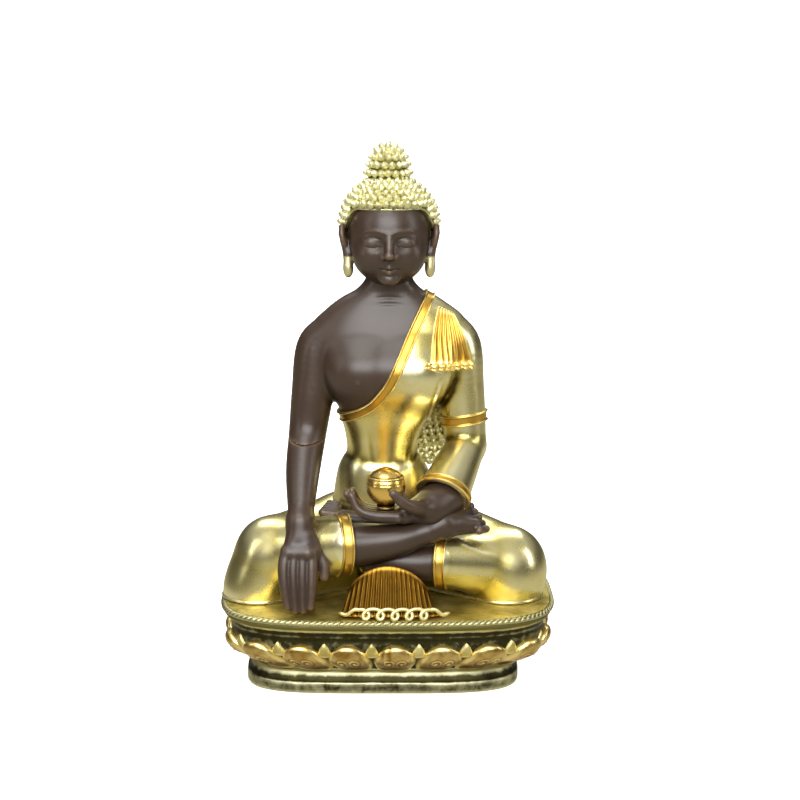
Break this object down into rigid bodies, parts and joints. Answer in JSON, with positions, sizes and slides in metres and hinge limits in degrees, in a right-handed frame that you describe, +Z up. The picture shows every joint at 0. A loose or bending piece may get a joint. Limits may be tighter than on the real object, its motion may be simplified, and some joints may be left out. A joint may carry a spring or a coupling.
{
  "type": "buddha statue",
  "caption": "Seated buddha statue of cast brass on a lotus throne, one hand to the earth, with a lidded alms bowl that lifts out of the other palm.",
  "frame": {"origin": "centre of the seat's outline, on the surface the foot stands on", "axes": "+Z up, the figure faces -Y, its own left side is towards +X"},
  "size_m": [0.208, 0.14, 0.332],
  "materials": {
    "antique_brass": "cast brass, darkened olive patina rubbed bright on the high spots",
    "polished_brass": "pale polished cast brass",
    "gilt_brass": "warm gold-lacquered brass",
    "skin_lacquer": "dark brown satin lacquer over cast brass",
    "steel": "plain zinc-plated steel"
  },
  "bodies": {
    "statue": {"plinth": "antique_brass", "base_plate": "antique_brass", "base_plate_screws": "steel", "throne_drum": "antique_brass", "lotus_petals": "gilt_brass", "petal_tips": "antique_brass", "seat_plate": "antique_brass", "seat_bead_rim": "antique_brass", "figure_studs": "steel", "figure_washers": "steel", "figure_nuts": "steel", "leg_robe": "polished_brass", "right_leg": "skin_lacquer", "left_leg": "skin_lacquer", "right_leg_hem": "gilt_brass", "left_leg_hem": "gilt_brass", "robe_fan": "gilt_brass", "robe_fan_hem": "polished_brass", "torso": "skin_lacquer", "torso_robe": "polished_brass", "robe_border": "gilt_brass", "robe_tail": "polished_brass", "robe_tail_hem": "polished_brass", "right_upper_arm": "skin_lacquer", "right_forearm": "skin_lacquer", "left_upper_sleeve": "polished_brass", "left_forearm_sleeve": "polished_brass", "left_armband": "gilt_brass", "left_cuff": "gilt_brass", "left_hand": "skin_lacquer", "shoulder_pleats": "gilt_brass", "shoulder_pleat_hem": "gilt_brass", "head": "skin_lacquer", "neck_pin": "polished_brass", "hair_cap": "polished_brass", "topknot": "polished_brass"},
    "bowl": {"alms_bowl": "gilt_brass"},
    "lid": {"bowl_lid": "gilt_brass"}
  },
  "joints": [
    {"name": "bowl_lift", "type": "slide", "parent": "statue", "child": "bowl", "axis": [0, 0, 1], "range_m": [0, 0.04]},
    {"name": "lid_lift", "type": "slide", "parent": "bowl", "child": "lid", "axis": [0, 0, 1], "range_m": [0, 0.03]}
  ]
}
